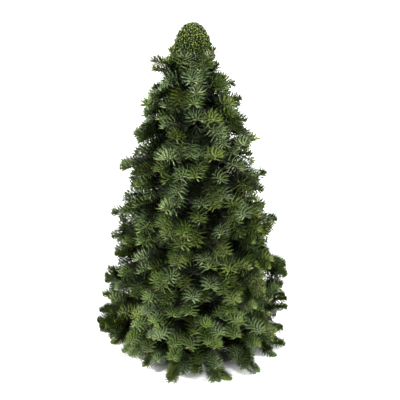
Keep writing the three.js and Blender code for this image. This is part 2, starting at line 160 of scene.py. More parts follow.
along, across, upright = TIMBER_GRAIN
timber_along_x = timber_material("timber_along_x", (along, across, upright))
timber_along_y = timber_material("timber_along_y", (across, along, upright))
for name in TIMBER_PIECES:
    low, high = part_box(name)
    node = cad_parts[name]
    node.data.materials.clear()
    node.data.materials.append(timber_along_x if high.x - low.x > high.y - low.y else timber_along_y)


# Trunk
# One straight young stem from its flat cut on the foot to its tip inside the top. The bark is thin
# and grey-brown, and breaks into shallow ridges along the stem.
TRUNK_FOOT = 0.0203
TRUNK_TIP_HEIGHT = 0.668
TRUNK_BUTT_RADIUS = 0.018
TRUNK_TIP_RADIUS = 0.005
TRUNK_WAVER = (0.0025, 0.0015)  # to the side and in depth
TRUNK_GRID = (240, 40)  # rings, sides
TRUNK_SKIN = 0.985  # the bark's middle, of the trunk's radius
TRUNK_RELIEF = 0.03  # and how far its ridges stand out from there
FLOOR_PRESS = 0.004  # below this height what lies on the floor is pressed flat
FLOOR_GAP = 0.0004
OUTER_PRESS = 0.232  # past this distance from the axis what stands out is bent back
OUTER_LIMIT = 0.2425
BARK_PALE = "7d6a58"
BARK_DARK = "3c3027"


def trunk_radius(height):
    """The trunk's radius: a straight line from the butt's to the tip's."""
    return np.interp(height, [TRUNK_FOOT, TRUNK_TIP_HEIGHT], [TRUNK_BUTT_RADIUS, TRUNK_TIP_RADIUS])


def trunk_middle(height):
    """The trunk's line: upright, with one sine wave of slight waver, which grows from nothing over the
    first quarter."""
    share = (height - TRUNK_FOOT) / (TRUNK_TIP_HEIGHT - TRUNK_FOOT)
    swing = np.sin(share * 2 * np.pi) * np.minimum(1, share * 4)
    return np.stack([TRUNK_WAVER[0] * swing, TRUNK_WAVER[1] * swing, height + 0 * share], axis=-1)


def bark_relief(turn, along):
    """Height of the bark over its skin, from about -1 to 1: crossed sine waves that break into ridges
    along the limb, their sides made steeper by a power, with a finer ripple round it."""
    ridges = np.sin(7 * turn + 2.2 * np.sin(61 * along) + 1.3 * np.sin(3 * turn + 140 * along))
    crossing = np.sin(230 * along + 3 * np.sin(2 * turn))
    cracks = np.sin(11 * turn - 1.7 * np.sin(90 * along + 2 * turn)) * crossing
    ripple = np.sin(900 * along + 2 * np.sin(5 * turn)) * 0.25
    return 0.55 * np.sign(ridges) * np.abs(ridges) ** 0.6 + 0.3 * cracks + ripple


def tube_mesh(middles, sideways, upward, radii, turns):
    """Points and faces of closed tubes: each ring is its middle plus radius times the cosine of the
    turn sideways and the sine upward, and a middle point closes each end. Middles and directions are
    tubes by rings by 3, and radii are tubes by rings by sides."""
    tubes, rings, sides = radii.shape
    ring = (middles[:, :, None]
            + radii[..., None] * np.cos(turns)[None, None, :, None] * sideways[:, :, None]
            + radii[..., None] * np.sin(turns)[None, None, :, None] * upward[:, :, None])
    points = np.concatenate([ring.reshape(tubes, -1, 3), middles[:, :1], middles[:, -1:]], axis=1)
    k = np.arange(sides)
    after = (k + 1) % sides
    wall = np.arange(rings - 1)[:, None] * sides
    quads = np.stack([wall + k, wall + after, wall + sides + after, wall + sides + k], axis=-1).reshape(-1, 4)
    walls = np.concatenate([quads[:, [0, 1, 2]], quads[:, [0, 2, 3]]])
    last = (rings - 1) * sides
    first_end = np.stack([np.full(sides, rings * sides), after, k], axis=1)
    far_end = np.stack([np.full(sides, rings * sides + 1), last + k, last + after], axis=1)
    faces = np.concatenate([walls, first_end, far_end])
    offsets = np.arange(tubes)[:, None, None] * points.shape[1]
    return points.reshape(-1, 3), (faces[None] + offsets).reshape(-1, 3)


def kept_in_reach(points):
    """Points with none under the floor or past the crown's reach. From where each press starts, the
    distance to its limit shrinks by an exponential that starts with a slope of one."""
    depth = FLOOR_PRESS - FLOOR_GAP
    pressed = FLOOR_GAP + depth * np.exp(np.minimum(0, points[:, 2] - FLOOR_PRESS) / depth)
    height = np.where(points[:, 2] < FLOOR_PRESS, pressed, points[:, 2])
    room = OUTER_LIMIT - OUTER_PRESS
    distance = np.maximum(1e-9, np.hypot(points[:, 0], points[:, 1]))
    bent = OUTER_LIMIT - room * np.exp(-np.maximum(0, distance - OUTER_PRESS) / room)
    share = np.where(distance > OUTER_PRESS, bent / distance, 1.0)
    return np.column_stack([share * points[:, 0], share * points[:, 1], height])


def add_piece(name, points, faces, materials, slot, nodes=(), face_materials=None, smooth=False):
    """A mesh object of triangles that rides on the tree and stands for the given nodes. Its slot is not used.
    """
    points = kept_in_reach(points)
    mesh = bpy.data.meshes.new(name)
    mesh.vertices.add(len(points))
    mesh.vertices.foreach_set("co", points.astype(np.float32).ravel())
    mesh.loops.add(3 * len(faces))
    mesh.loops.foreach_set("vertex_index", faces.astype(np.int32).ravel())
    mesh.polygons.add(len(faces))
    mesh.polygons.foreach_set("loop_start", np.arange(0, 3 * len(faces), 3, dtype=np.int32))
    mesh.polygons.foreach_set("use_smooth", np.full(len(faces), smooth))
    for material in materials:
        mesh.materials.append(material)
    if face_materials is not None:
        mesh.polygons.foreach_set("material_index", face_materials.astype(np.int32))
    mesh.update(calc_edges=True)
    mesh.validate()
    piece = bpy.data.objects.new(name, mesh)
    bpy.context.scene.collection.objects.link(piece)
    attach(piece, "root")
    if nodes:
        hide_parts(*nodes)
    return piece


bark = mottled_material("bark", BARK_PALE, BARK_DARK, scale=260.0, contrast=0.4, roughness=(0.7, 0.95),
                        bump=0.6, depth=0.0008)
heights = np.linspace(TRUNK_FOOT, TRUNK_TIP_HEIGHT, TRUNK_GRID[0])
turns = np.linspace(0, 2 * np.pi, TRUNK_GRID[1], endpoint=False)
relief = bark_relief(turns[None, :], heights[:, None])
skin = trunk_radius(heights)[:, None] * (TRUNK_SKIN + TRUNK_RELIEF * relief)
across = np.tile([1.0, 0.0, 0.0], (len(heights), 1))
away = np.tile([0.0, 1.0, 0.0], (len(heights), 1))
trunk = tube_mesh(trunk_middle(heights)[None], across[None], away[None], skin[None], turns)
add_piece("trunk_bark", *trunk, [bark], "bark", ["trunk"], smooth=True)


# Boughs
# A whorl of short limbs inside each tier. Each leaves the trunk level and falls to where it enters
# its mass of foliage. Their bark is that of the trunk, only finer.
TREE_HEIGHT = 0.8
CROWN_HEIGHTS = [0.0, 0.1, 0.2, 0.3, 0.4, 0.5, 0.6, 0.7, 0.74, 0.78, TREE_HEIGHT]
CROWN_RADII = [0.228, 0.224, 0.206, 0.187, 0.164, 0.14, 0.11, 0.07, 0.044, 0.036, 0.008]
FLOOR_CLEARANCE = 0.003
TIER_DROOP = 0.38
TIERS = [("skirt", 6, 0.15, 0.5), ("low", 6, 0.285, 0.2), ("middle", 5, 0.41, 0.83),
         ("high", 4, 0.525, 0.06), ("upper", 3, 0.63, 0.29)]  # name, boughs, top and turn
STAND_TOP = 0.062
BOUGH_ROOT_RADIUS = 0.0052
BOUGH_TO_TRUNK = 0.45  # a bough's radius is never more than this share of the trunk's
BOUGH_TAPER = 0.65
BOUGH_SHARE = 0.36  # of the crown's radius, where a bough enters its mass
BOUGH_RISE = 0.35
BOUGH_BEND = 0.55  # of its reach, where it starts to fall
BOUGH_RELIEF = 0.06
BOUGH_GRID = (24, 14)  # rings, sides
BARK_RUN = 0.06  # how much of the bark's pattern runs along a limb
NEARLY_UP = np.array([0.02, 0.01, 1.0])  # a hair off upright, so that no limb lies along it


def crown_radius(height):
    """The crown's radius out to its sprays' tips, in straight steps between its named heights."""
    return np.interp(height, CROWN_HEIGHTS, CROWN_RADII)


def around(radius, turn, height):
    """A point from its distance to the tree's upright axis, its turn round it and its height."""
    radius, turn, height = np.broadcast_arrays(radius, turn, height)
    return np.stack([radius * np.cos(turn), radius * np.sin(turn), height], axis=-1)


def unit(vectors):
    """Each vector at a length of one."""
    return vectors / np.maximum(np.linalg.norm(vectors, axis=-1, keepdims=True), 1e-12)


def spaces_of_masses():
    """Each mass's space, from the floor up: a sector of one tier between two falling cones. The top's
    comes last."""
    spaces = []
    floor_of = lambda height: height + TIER_DROOP * crown_radius(height)
    low, low_face = -math.inf, FLOOR_CLEARANCE
    for name, boughs, top, turn in TIERS:
        for k in range(boughs):
            spaces.append({"name": f"{name}_{k + 1}", "turn": (k + turn) * 2 * math.pi / boughs,
                           "half": math.pi / boughs, "low": low, "high": floor_of(top),
                           "low_face": low_face, "high_face": top})
        low, low_face = floor_of(top), top
    spaces.append({"name": "top", "turn": 0.0, "half": math.pi, "low": low, "high": math.inf,
                   "low_face": low_face, "high_face": TREE_HEIGHT})
    return spaces


def curve_points(curves, share):
    """Points of quadratic curves [start, bend, tip] at shares s of their way:
    (1-s)² start + 2s(1-s) bend + s² tip."""
    start, bend, tip = curves
    s = share[..., None]
    return (1 - s) ** 2 * start + 2 * s * (1 - s) * bend + s * s * tip


def curve_headings(curves, share):
    """The unit tangents there: (1-s)(bend-start) + s(tip-bend)."""
    start, bend, tip = curves
    s = share[..., None]
    return unit((1 - s) * (bend - start) + s * (tip - bend))


def frame_of(headings):
    """Sideways and upward unit vectors square to each heading. Upward is the world's, as far as it can be."""
    sideways = unit(np.cross(headings, NEARLY_UP))
    return sideways, np.cross(sideways, headings)


def tubes_along(curves, root_radii, tip_radii, rings, sides, relief_depth=0.0):
    """Tapering round tubes along quadratic curves, with the bark's relief where a depth is given."""
    share = np.broadcast_to(np.linspace(0, 1, rings), (len(root_radii), rings))
    held = [part[:, None] for part in curves]
    middles = curve_points(held, share)
    sideways, upward = frame_of(curve_headings(held, share))
    radii = root_radii[:, None] * (1 - share) + tip_radii[:, None] * share
    turns = np.linspace(0, 2 * np.pi, sides, endpoint=False)
    along = BARK_RUN * share[..., None] + np.arange(len(root_radii))[:, None, None]
    skin = radii[..., None] * (1 + relief_depth * bark_relief(turns[None, None, :], along))
    return tube_mesh(middles, sideways, upward, skin, turns)


SPACES = spaces_of_masses()
bough_spaces = SPACES[:-1]
bough_curves = []
for space in bough_spaces:
    reach = BOUGH_SHARE * crown_radius((space["low_face"] + space["high_face"]) / 2)
    entry = (max(space["low"], STAND_TOP) + space["high"]) / 2 - TIER_DROOP * reach
    root = trunk_middle(np.array(entry + BOUGH_RISE * TIER_DROOP * reach))
    bend = around(BOUGH_BEND * reach, space["turn"], root[2])
    bough_curves.append([root, bend, around(reach, space["turn"], entry)])
bough_curves = np.array(bough_curves).transpose(1, 0, 2)
bough_radii = np.minimum(BOUGH_ROOT_RADIUS, BOUGH_TO_TRUNK * trunk_radius(bough_curves[0][:, 2]))
boughs = tubes_along(bough_curves, bough_radii, bough_radii * BOUGH_TAPER, *BOUGH_GRID, BOUGH_RELIEF)
add_piece("boughs_bark", *boughs, [bark], "bark", [f"bough_{s['name']}" for s in bough_spaces], smooth=True)


# Twigs
# From each bough a stem runs on into the middle of its mass. Twigs leave the stem and arch out to the
# crown's face, where each ends in a leading shoot with a shorter one beside it. Some stand out of the
# crown, and a ring of upswept ones closes round the foot of the round top.
SPRAY_ELEVATION = ([0.0, 0.06, 0.15, 0.62, 0.69, 0.74, TREE_HEIGHT],  # by height: how a shoot falls or
                   [-60, -42, -25, -18, 5, 45, 86])  # rises where it leaves its limb, in degrees
TIP_RISE = ([0.0, 0.06, 0.15, 0.3, 0.55, 0.64, 0.71],  # and how far it turns up towards its tip
            [60, 48, 30, 18, 12, 30, 40])
SLOPE_SCATTER = 24  # degrees
AIM_SCATTER = 0.5
LOWEST_TIP = 0.012
LEAST_REACH = 0.01
STEM_RADIUS = 0.003
STEM_TAPER = 0.65
STEM_RELIEF = 0.05
STEM_GRID = (8, 10)  # rings, sides
STEM_SHARE = 0.56  # of the crown's radius, where a mass's stem ends
STEM_CLEARANCE = 0.02
STEM_JOINTS = (0.35, 0.6)  # share of the stem where its first twig leaves, and the spread of the rest
TOP_STEM = 0.044
PLASTIC = 1.32471795724
GOLDEN_TURN = math.pi * (3 - math.sqrt(5))
ARCH_SHARE = 0.55  # of a shoot's length, from its bend to its tip
LEADER_SPACING = 0.055
LEADER_LENGTH = 0.088
LEADER_VARIES = (0.88, 0.24)  # the least of it, and the spread
LEADER_TWIG = 0.0021
OTHER_TWIG = 0.8 * LEADER_TWIG
TWIG_TAPER = 0.55
TWIG_GRID = (5, 4)  # rings, sides
RAGGED_REACH = (1.055, -0.15)  # a tip's reach over the crown's: the most of it, and how far it may fall
NEEDLES_BEYOND = 0.016  # how far needles stand past the tip of their shoot
STEEP_BEYOND = 0.3  # and by what share more where it is steep
SIDE_LENGTH = 0.068
SIDE_VARIES = (0.8, 0.4)
SIDE_START = 0.45  # of its length, from its joint to its bend
SIDE_JOINT = 0.062  # from the leader's tip back to where its side shoot leaves it
SIDE_JOINT_LIMITS = (0.3, 0.9)  # shares of the leader's way that it stays between
SIDE_ANGLE = math.radians(68)  # from the leader where it starts
SIDE_ANGLE_VARIES = (0.85, 0.3)
SIDE_SETTLES = math.radians(16)  # and at its tip
SIDE_SETTLES_VARIES = (0.5, 1.0)
SIDE_ROLL = math.radians(45)
INNER_COVERS = [(0.052, 0.80), (0.058, 0.58)]  # spacing, and share of the crown's radius
TRUNK_SHOOTS = 90
TRUNK_SHOOTS_FROM = 0.08
TRUNK_SHOOTS_TO = 0.66
TRUNK_SHOOT_SHARE = 0.45  # of the crown's radius
TRUNK_SHOOT_CLIMB = 0.15  # by how much of its reach it has risen at its tip
TRUNK_SHOOT_RISE = 0.2
TRUNK_SHOOT_LENGTH = 0.6
COVER_TOP = 0.71  # where the crown closes into its round top
COLLAR_SHOOTS = 17
COLLAR_HEIGHT = 0.724
COLLAR_SCATTER = 0.03
COLLAR_RADIUS = 0.046
COLLAR_VARIES = (0.9, 0.2)
COLLAR_RISE = math.radians(64)
COLLAR_LENGTH = 0.05
COLLAR_JOINT = TRUNK_TIP_HEIGHT - 0.03
COLLAR_TURN = 1.7
LONG_LENGTH = 1.25 * LEADER_LENGTH
LONG_JOINT = 0.8  # share of the stem where a long shoot leaves it
LONG_BEYOND = 0.006  # the listed tips are those of the needles, so far past the shoot's own
SIDE_INDEX = 400  # each kind of shoot counts from a number of its own, which keeps their chances apart
LONG_INDEX = 1000
INNER_INDEX = 1700
INNER_STEP = 300
TRUNK_INDEX = 2500
COLLAR_INDEX = 4000
TRUNK_MASS = 50  # and shoots that belong to no mass have a number of their own for one
COLLAR_MASS = 61
COLLAR_CHANCE = 40
LONG_SHOOTS = [  # tips, most of them out of the crown: height, turn in degrees, distance from the axis
    (0.713, 168, 0.058), (0.716, 195, 0.064), (0.696, 17, 0.066), (0.679, -15, 0.078), (0.637, 164, 0.094),
    (0.635, 199, 0.101), (0.594, 18, 0.116), (0.591, 163, 0.109), (0.598, 197, 0.115), (0.545, 164, 0.119),
    (0.581, -15, 0.128), (0.526, 14, 0.128), (0.531, 195, 0.130), (0.518, -20, 0.134), (0.445, 166, 0.175),
    (0.472, 198, 0.176), (0.404, 17, 0.163), (0.413, -15, 0.169), (0.308, 163, 0.205), (0.288, 16, 0.210),
    (0.290, 190, 0.196), (0.310, -10, 0.191), (0.236, 13, 0.189), (0.204, 168, 0.197), (0.211, -7, 0.226),
    (0.169, 9, 0.231), (0.183, -7, 0.228), (0.180, 188, 0.217), (0.136, 173, 0.222), (0.123, 6, 0.224),
    (0.115, 181, 0.225), (0.105, 2, 0.228), (0.092, 2, 0.234), (0.085, 184, 0.222), (0.080, -3, 0.234),
    (0.072, 182, 0.235), (0.040, 187, 0.234), (0.034, 184, 0.236), (0.016, -2, 0.225), (0.015, -124, 0.206),
    (0.014, 181, 0.234), (0.012, -77, 0.236), (0.012, -103, 0.236), (0.012, 150, 0.214), (0.012, 118, 0.212),
    (0.012, 92, 0.212), (0.012, 64, 0.212), (0.012, 38, 0.214), (0.010, -18, 0.238), (0.008, -51, 0.2425),
    (0.242, -33, 0.176), (0.215, -18, 0.19),
]
TWIG_PALE = "4c4a2a"
TWIG_DARK = "2b2415"


def varied(amount, dice):
    """A seeded amount: its first number, and the dice's share of its second."""
    return amount[0] + amount[1] * dice


def chance(mass, spray, purpose):
    """Seeded chance: the same number in 0 to 1 for the same mass, spray and purpose."""
    wave = np.sin(mass * 12.9898 + spray * 78.233 + purpose * 37.719) * 43758.5453
    return wave - np.floor(wave)


def scatter(index):
    """Even scatter of points over a square from -1 to 1, by the plastic number's sequence."""
    across = (0.5 + (index + 1) / PLASTIC) % 1
    upward = (0.5 + (index + 1) / PLASTIC ** 2) % 1
    return 2 * across - 1, 2 * upward - 1


def stem_of(space):
    """Start and end of a mass's stem: from the bough's tip, or the trunk's, to the mass's middle."""
    if space["name"] == "top":
        start = trunk_middle(np.array(TRUNK_TIP_HEIGHT))
        return start, start + [0, 0, TOP_STEM]
    k = bough_spaces.index(space)
    reach = STEM_SHARE * crown_radius((space["low_face"] + space["high_face"]) / 2)
    low = max(space["low"], STEM_CLEARANCE + TIER_DROOP * reach)
    return bough_curves[2][k], around(reach, space["turn"], (low + space["high"]) / 2 - TIER_DROOP * reach)


def shoots_from(mass, joint, tip, aim, rise, length, index, free=False):
    """Shoots whose twigs run from a joint on the stem and arch into a heading of the given aim and rise:
    its cosines times those of the aim, and its sine upward. Free ones stand out of the crown."""
    heading = np.stack([np.cos(aim) * np.cos(rise), np.sin(aim) * np.cos(rise), np.sin(rise)], axis=-1)
    bend = tip - ARCH_SHARE * length[:, None] * heading
    return {"start": joint, "bend": bend, "tip": tip, "mass": np.full(len(index), mass), "index": index,
            "free": np.full(len(index), free)}


def cover_of(mass, space, spacing, reach_share):
    """Shoots scattered over a mass's face, as many as its area over the square of their spacing. A tip
    stands at the crown's radius times its share and its raggedness, less the needles beyond it."""
    high_face = min(space["high_face"], COVER_TOP)
    rise = high_face - space["low_face"]
    width = 2 * space["half"] * crown_radius((high_face + space["low_face"]) / 2)
    index = np.arange(int(round(rise * width / spacing ** 2)))
    across, upward = scatter(index)
    height = np.maximum(LOWEST_TIP, space["low_face"] + rise * (0.5 + 0.5 * upward))
    turn = space["turn"] + across * space["half"]
    slope = np.interp(height, *SPRAY_ELEVATION) + np.interp(height, *TIP_RISE)
    slope = np.radians(slope + SLOPE_SCATTER * (chance(mass, index, 2) - 0.5))
    ragged = varied(RAGGED_REACH, chance(mass, index, 1))
    beyond = NEEDLES_BEYOND * (1 + STEEP_BEYOND * np.abs(np.sin(slope)))
    reach = np.maximum(LEAST_REACH, reach_share * ragged * crown_radius(height) - beyond)
    aim = turn + AIM_SCATTER * (chance(mass, index, 3) - 0.5)
    first, last = stem_of(space)
    joint = first + (last - first) * varied(STEM_JOINTS, chance(mass, index, 5))[:, None]
    length = LEADER_LENGTH * varied(LEADER_VARIES, chance(mass, index, 4))
    return shoots_from(mass, joint, around(reach, turn, height), aim, slope, length, index)


def side_shoots(parents):
    """A shoot on one side of each leader: it leaves sideways and turns forward, in a plane that chance
    rolls up or down about the leader."""
    mass, index = parents["mass"], parents["index"]
    side = np.where(chance(mass, index, 33) < 0.5, -1, 1)[:, None]
    curves = [parents["start"], parents["bend"], parents["tip"]]
    span = 2 * np.linalg.norm(parents["tip"] - parents["bend"], axis=-1)
    share = 1 - SIDE_JOINT * varied(SIDE_VARIES, chance(mass, index, 8)) / span
    share = np.clip(share, *SIDE_JOINT_LIMITS)
    start = curve_points(curves, share)
    ahead = curve_headings(curves, share)
    sideways, upward = frame_of(ahead)
    roll = SIDE_ROLL * (2 * chance(mass, index, 11) - 1)[:, None]
    aside = side * (np.cos(roll) * sideways + np.sin(roll) * upward)
    length = (SIDE_LENGTH * varied(SIDE_VARIES, chance(mass, index, 14)))[:, None]
    away = SIDE_ANGLE * varied(SIDE_ANGLE_VARIES, chance(mass, index, 12))[:, None]
    settled = SIDE_SETTLES * varied(SIDE_SETTLES_VARIES, chance(mass, index, 16))[:, None]
    bend = start + SIDE_START * length * (np.cos(away) * ahead + np.sin(away) * aside)
    tip = bend + ARCH_SHARE * length * (np.cos(settled) * ahead + np.sin(settled) * aside)
    return {"start": start, "bend": bend, "tip": tip, "mass": mass, "index": index + SIDE_INDEX,
            "free": parents["free"]}


def together(groups):
    """Groups of shoots as one."""
    return {key: np.concatenate([group[key] for group in groups]) for key in groups[0]}


def mass_at(height, turn):
    """The number of the mass whose space holds a tip of that height and turn."""
    return next(m for m, space in enumerate(SPACES)
                if space["low_face"] <= height < space["high_face"]
                and math.cos(turn - space["turn"]) >= math.cos(space["half"]))


def long_shoots():
    """The listed shoots, each from the stem of the mass whose space its tip lies in."""
    rows = []
    for number, (height, degrees, reach) in enumerate(LONG_SHOOTS):
        turn = math.radians(degrees)
        mass = mass_at(height, turn)
        first, last = stem_of(SPACES[mass])
        slope = np.radians(np.interp([height], *SPRAY_ELEVATION) + np.interp([height], *TIP_RISE))
        joint = first + LONG_JOINT * (last - first)
        tip = around(np.array([reach - LONG_BEYOND]), turn, np.array([height]))
        rows.append(shoots_from(mass, joint[None], tip, np.array([turn]), slope, np.array([LONG_LENGTH]),
                                np.array([LONG_INDEX + number]), free=True))
    return together(rows)


def collar_shoots():
    """Upswept shoots that close round the foot of the round top, a golden turn apart."""
    index = np.arange(COLLAR_SHOOTS)
    turn = index * GOLDEN_TURN - COLLAR_TURN
    height = COLLAR_HEIGHT + COLLAR_SCATTER * (chance(COLLAR_CHANCE, index, 1) - 0.5)
    tip = around(COLLAR_RADIUS * varied(COLLAR_VARIES, chance(COLLAR_CHANCE, index, 2)), turn, height)
    joint = np.broadcast_to(trunk_middle(np.array(COLLAR_JOINT)), tip.shape)
    rise = np.full(COLLAR_SHOOTS, COLLAR_RISE)
    length = np.full(COLLAR_SHOOTS, COLLAR_LENGTH)
    return shoots_from(COLLAR_MASS, joint, tip, turn, rise, length, index + COLLAR_INDEX)


def trunk_shoots():
    """Weak twigs straight from the trunk between its whorls: a golden turn apart, rising as they go out."""
    index = np.arange(TRUNK_SHOOTS)
    height = TRUNK_SHOOTS_FROM + (TRUNK_SHOOTS_TO - TRUNK_SHOOTS_FROM) * (index + 0.5) / TRUNK_SHOOTS
    turn = index * GOLDEN_TURN
    reach = TRUNK_SHOOT_SHARE * crown_radius(height)
    tip = around(reach, turn, height + TRUNK_SHOOT_CLIMB * reach)
    rise = np.full(TRUNK_SHOOTS, TRUNK_SHOOT_RISE)
    length = TRUNK_SHOOT_LENGTH * reach
    return shoots_from(TRUNK_MASS, trunk_middle(height), tip, turn, rise, length, index + TRUNK_INDEX)


leaders = together([cover_of(m, space, LEADER_SPACING, 1.0) for m, space in enumerate(SPACES)]
                   + [long_shoots()])
sides = side_shoots(leaders)
leaders = together([leaders, collar_shoots()])
inner = []
for cover, (spacing, share) in enumerate(INNER_COVERS):
    for m, space in enumerate(SPACES):
        inner.append(cover_of(m, space, spacing, share))
        inner[-1]["index"] = inner[-1]["index"] + INNER_INDEX + INNER_STEP * cover
inner = together(inner + [trunk_shoots()])

twig_bark = mottled_material("twig_bark", TWIG_PALE, TWIG_DARK, scale=180.0, contrast=0.5,
                             roughness=(0.6, 0.8))
stems = np.array([stem_of(space) for space in SPACES])
stem_curves = np.array([stems[:, 0], stems.mean(axis=1), stems[:, 1]])
stem_radii = np.full(len(SPACES), STEM_RADIUS)
stem_tubes = tubes_along(stem_curves, stem_radii, STEM_TAPER * stem_radii, *STEM_GRID, STEM_RELIEF)
add_piece("stems", *stem_tubes, [bark], "bark", smooth=True)
twigs = together([leaders, sides, inner])
root_radii = np.where(np.arange(len(twigs["mass"])) < len(leaders["mass"]), LEADER_TWIG, OTHER_TWIG)
twig_tubes = tubes_along([twigs["start"], twigs["bend"], twigs["tip"]], root_radii, TWIG_TAPER * root_radii,
                         *TWIG_GRID)
add_piece("twigs", *twig_tubes, [twig_bark], "bark", smooth=True)


# Needles
# Needles stand over the top and sides of each shoot and sweep forward, and the lowest curl up beside
# it. Each is a slim three-sided blade with a ridge on top, widest past its middle and pointed. Between
# the lit ones stand shaded ones, whose darker green is painted shade.
NEEDLE_LENGTH = 0.030
NEEDLE_WIDTH = 0.0021
NEEDLE_THICKNESS = 0.0010
NEW_GROWTH = 0.042  # length of this year's growth, which is paler than what lies behind it; that darker green behind is painted shade
LONGER_GROWTH = ([0.04, 0.16], [1.7, 1.0])  # by height: near the floor shoots carry needles further back
OPEN_NEEDLES = ([0.07, 0.24], [1.4, 1.0])  # there the needles stand out further from them
SHORT_NEEDLES = ([0.07, 0.24], [0.75, 1.0])  # and are shorter
STOUT_NEEDLES = ([0.07, 0.24], [1.1, 1.0])  # and broader
CLOSE_NEEDLES = ([0.07, 0.24], [1.18, 1.0])  # and stand closer
FREE_DENSITY = 1.35  # a free shoot has so many times the needles of another
FREE_STOUT = 1.2  # which are so much broader
FREE_OPENING = 0.92  # and lie so much closer
GREEN_SHARE = 0.97  # how much of a shoot may carry needles
CLOSER_AHEAD = 1.08  # the power that draws needles a little closer towards the tip
LEAN_PLACES = (0, 0.012, 0.03)  # distances from a shoot's tip
NEW_LEAN = (42, 58, 64)  # and how far its needles lean from it there, in degrees
OLD_LEAN = (50, 56, 60)
TIP_NEEDLES = ([0, 0.018], [0.55, 1.0])  # by that distance: needles are shorter at the tip
NEEDLE_SPREAD = 0.7  # how far round the shoot they stand: one is all round
CURL_ABOVE = 0.2  # towards the sky, of a needle on top of its shoot
CURL_BENEATH = 0.35  # and how much more of one underneath
STILL_OUT = 0.25  # how much a needle's end still leans out
TURN_SWING = 0.12  # how far chance swings a needle's turn, its lean, its curl and its length
LEAN_SWING = 0.14
CURL_SWING = 0.2
LENGTH_SWING = 0.2
NEEDLE_RINGS = {2: [(0.0, 0.0, 0.7), (0.42, 0.22, 1.0)],  # steps along a needle's first and last
                1: [(0.42, 0.1, 1.0)]}  # heading, and its width there
NEEDLE_END = (0.42, 0.58)
NEEDLE_MOTTLE = 160.0  # how fine the mottle of their skin is
# The needles behind this year's growth take a dark green that is painted shade, for the depth of the crown.
OLD_SHADED_GREEN = ("3a4a2b", "212b15")
# The inner needles deep in the crown take a very dark green that is painted shade.
INNER_SHADED_GREEN = ("222c16", "10160a")
TINTS = {  # a lit needle's two greens, and the darker green of the shaded ones, which is painted shade
    "grey_green": ("80935a", "677a4b", "171c10"),
    "blue_green": ("778e58", "5f7447", "151a0e"),
    "mid_green": ("748f42", "5f753b", "151b09"),
    "olive_green": ("74872f", "5c6d2b", "151907"),
    "yellow_green": ("7b8e3e", "657631", "191d07"),
    "deep_green": ("6a8433", "566d29", "111706"),
}
DEEP_SHADE = "141a0b"
TINT_SHARES = np.cumsum([0.20, 0.22, 0.24, 0.14, 0.08])  # the rest is deep green
TINT_SHIFT = ([0.0, 0.25, 0.45, 0.8], [0.20, 0.15, 0.02, -0.12])  # greyer towards the top


def needle_blades(shoots, bare, green, pitch, size=1.0, stout=1.0, spread=NEEDLE_SPREAD, rings=2,
                  lean=NEW_LEAN, slots=(0, 0), phase=0):
    """Needles along shoots, from where their bare tips end to where the green ends, one every pitch and a
    little closer towards the tip. Needle j stands a golden turn round from the last. It leaves at a lean
    that opens away from the tip, then curls towards the sky. Slots are the materials of its base and of
    the rest. Returns each needle's points, the faces that all share, and the materials of those faces."""
    green = green * np.interp(shoots["tip"][:, 2], *LONGER_GROWTH)
    crowd = np.interp(shoots["tip"][:, 2], *CLOSE_NEEDLES) * np.where(shoots["free"], FREE_DENSITY, 1.0)
    counts = np.round((green - bare) / pitch * crowd).astype(int)
    shoot = np.repeat(np.arange(len(counts)), counts)
    j = np.arange(len(shoot)) - np.repeat(np.cumsum(counts) - counts, counts)
    seed = (37 * shoots["mass"] + shoots["index"] + 1)[shoot]
    swing = lambda purpose: chance(seed, j, purpose + 7 * phase) - 0.5
    curves = [shoots[part][shoot] for part in ("start", "bend", "tip")]
    span = np.linalg.norm(curves[2] - curves[1], axis=-1) + np.linalg.norm(curves[1] - curves[0], axis=-1)
    way = (j + 0.5) / counts[shoot]
    back = bare + way ** CLOSER_AHEAD * (np.minimum(green[shoot], GREEN_SHARE * span) - bare)
    share = 1 - back / span
    base = curve_points(curves, share)
    ahead = curve_headings(curves, share)
    sideways, upward = frame_of(ahead)
    turn = spread * ((j * GOLDEN_TURN + seed + phase) % (2 * np.pi) - np.pi) + TURN_SWING * swing(21)
    height = curves[2][:, 2]
    free = shoots["free"][shoot]
    opened = np.where(free, FREE_OPENING, np.interp(height, *OPEN_NEEDLES))
    size = size * np.interp(height, *SHORT_NEEDLES)
    angle = opened * np.radians(np.interp(back, LEAN_PLACES, lean)) + LEAN_SWING * swing(22)
    out = np.cos(turn)[:, None] * upward + np.sin(turn)[:, None] * sideways
    first = np.cos(angle)[:, None] * ahead + np.sin(angle)[:, None] * out
    curl = opened * (CURL_ABOVE + CURL_BENEATH * np.abs(np.sin(turn / 2)) + CURL_SWING * swing(23))
    last = unit(first + STILL_OUT * opened[:, None] * out + curl[:, None] * upward)
    reach = size * NEEDLE_LENGTH * np.interp(back, *TIP_NEEDLES) * (1 + LENGTH_SWING * swing(24))
    reach = reach[:, None]
    face = unit(out - np.sum(out * first, axis=-1, keepdims=True) * first)
    broad = np.interp(height, *STOUT_NEEDLES) * np.where(free, FREE_STOUT, 1.0)
    wide = broad[:, None] * np.cross(first, face)
    corners = [base] if rings == 1 else []
    for straight, curled, width in NEEDLE_RINGS[rings]:
        middle = base + reach * (straight * first + curled * last)
        half = 0.5 * stout * width * NEEDLE_WIDTH * wide
        corners += [middle - half, middle + half, middle + stout * width * NEEDLE_THICKNESS * face]
    corners.append(base + reach * (NEEDLE_END[0] * first + NEEDLE_END[1] * last))
    if rings == 1:
        faces = [[0, 2, 1], [0, 3, 2], [0, 1, 3], [1, 2, 4], [2, 3, 4], [3, 1, 4]]
        part = [0, 0, 0, 1, 1, 1]
    else:
        faces, part = [[0, 1, 2]], [0]
        for a, b in ((0, 1), (1, 2), (2, 0)):
            faces += [[a, a + 3, b], [b, a + 3, b + 3]]
            part += [0, 0]
        for a, b in ((3, 4), (4, 5), (5, 3)):
            faces.append([a, 6, b])
            part.append(1)
    points = np.stack(corners, axis=1)
    return points, np.array(faces), np.tile(np.array(slots)[part], (len(points), 1))


